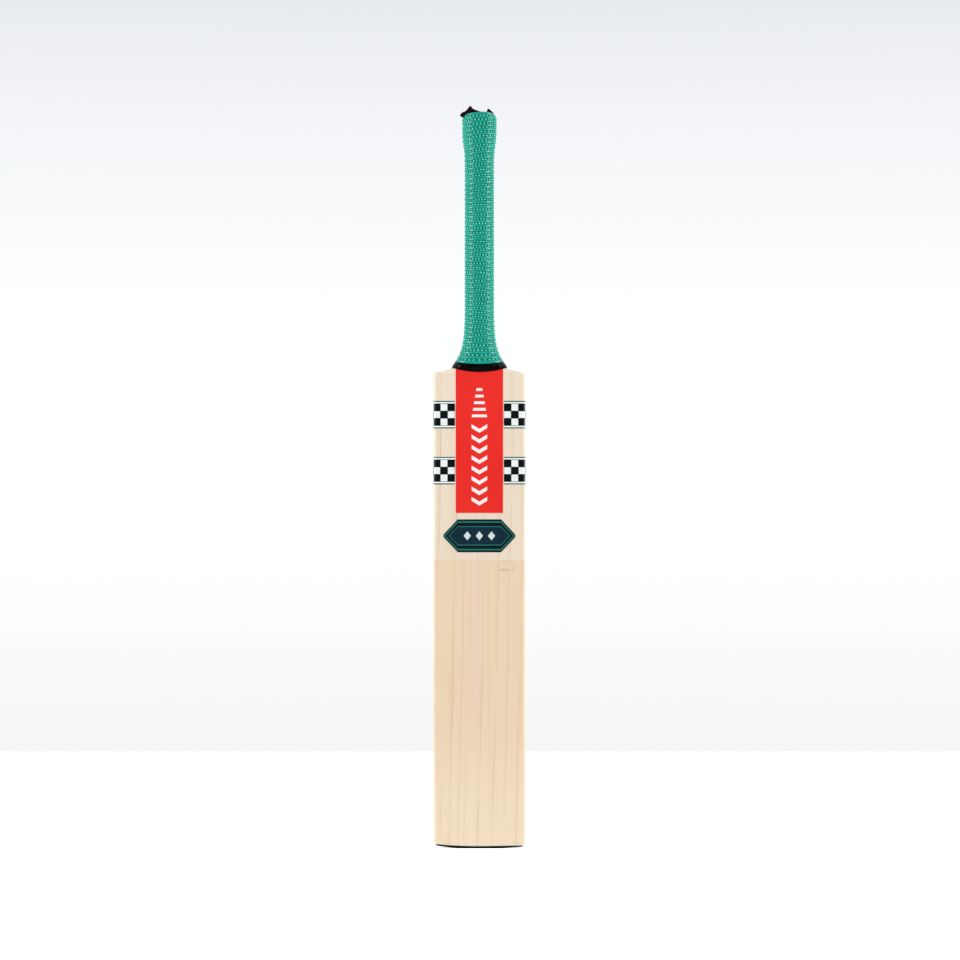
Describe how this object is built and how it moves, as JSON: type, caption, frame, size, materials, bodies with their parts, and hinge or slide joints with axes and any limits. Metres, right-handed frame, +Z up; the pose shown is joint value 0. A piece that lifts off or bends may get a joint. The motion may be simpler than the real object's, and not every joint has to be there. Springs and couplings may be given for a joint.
{
  "type": "cricket bat",
  "caption": "full-size short-handle cricket bat standing on its toe: willow blade with a raised spine, spliced cane handle, ribbed rubber grip, printed labels",
  "frame": {"origin": "on the ground under the toe, at the middle of the bat's width and depth", "axes": "+Z up along the bat from toe to handle, -Y out of the hitting face, +X across the blade to the right as seen from the face side"},
  "size_m": [0.1076, 0.0682, 0.8591],
  "materials": {
    "willow": "sanded and lightly oiled English willow, fine straight grain",
    "cane": "laminated Sarawak cane, open pores",
    "strip_rubber": "dull soft rubber",
    "twine": "waxed thread, wound tight",
    "grip_rubber": "moulded ribs and small pips, slight sheen",
    "neck_tape": "glossy stretched tape",
    "toe_rubber": "matt black sheet rubber",
    "red_print": "printed film, satin",
    "checked_print": "black and white checks between thin green lines on film, satin",
    "badge_print": "dark printed film, satin",
    "clear_film": "clear anti-scuff facing with fine texture",
    "cloth_tape": "woven cotton tape"
  },
  "bodies": {
    "root": {"blade": "willow", "cane_strip_front_left": "cane", "cane_strip_front_centre": "cane", "cane_strip_front_right": "cane", "cane_strip_mid_front_left": "cane", "cane_strip_mid_front_centre": "cane", "cane_strip_mid_front_right": "cane", "cane_strip_mid_back_left": "cane", "cane_strip_mid_back_centre": "cane", "cane_strip_mid_back_right": "cane", "cane_strip_back_left": "cane", "cane_strip_back_centre": "cane", "cane_strip_back_right": "cane", "rubber_strip_front": "strip_rubber", "rubber_strip_middle": "strip_rubber", "rubber_strip_back": "strip_rubber", "twine_binding": "twine", "grip": "grip_rubber", "neck_tape": "neck_tape", "toe_guard": "toe_rubber", "face_label": "red_print", "back_label": "red_print", "checked_band_lower_left": "checked_print", "checked_band_lower_right": "checked_print", "checked_band_upper_left": "checked_print", "checked_band_upper_right": "checked_print", "face_badge": "badge_print", "clear_facing": "clear_film", "end_cloth": "cloth_tape"}
  },
  "joints": []
}
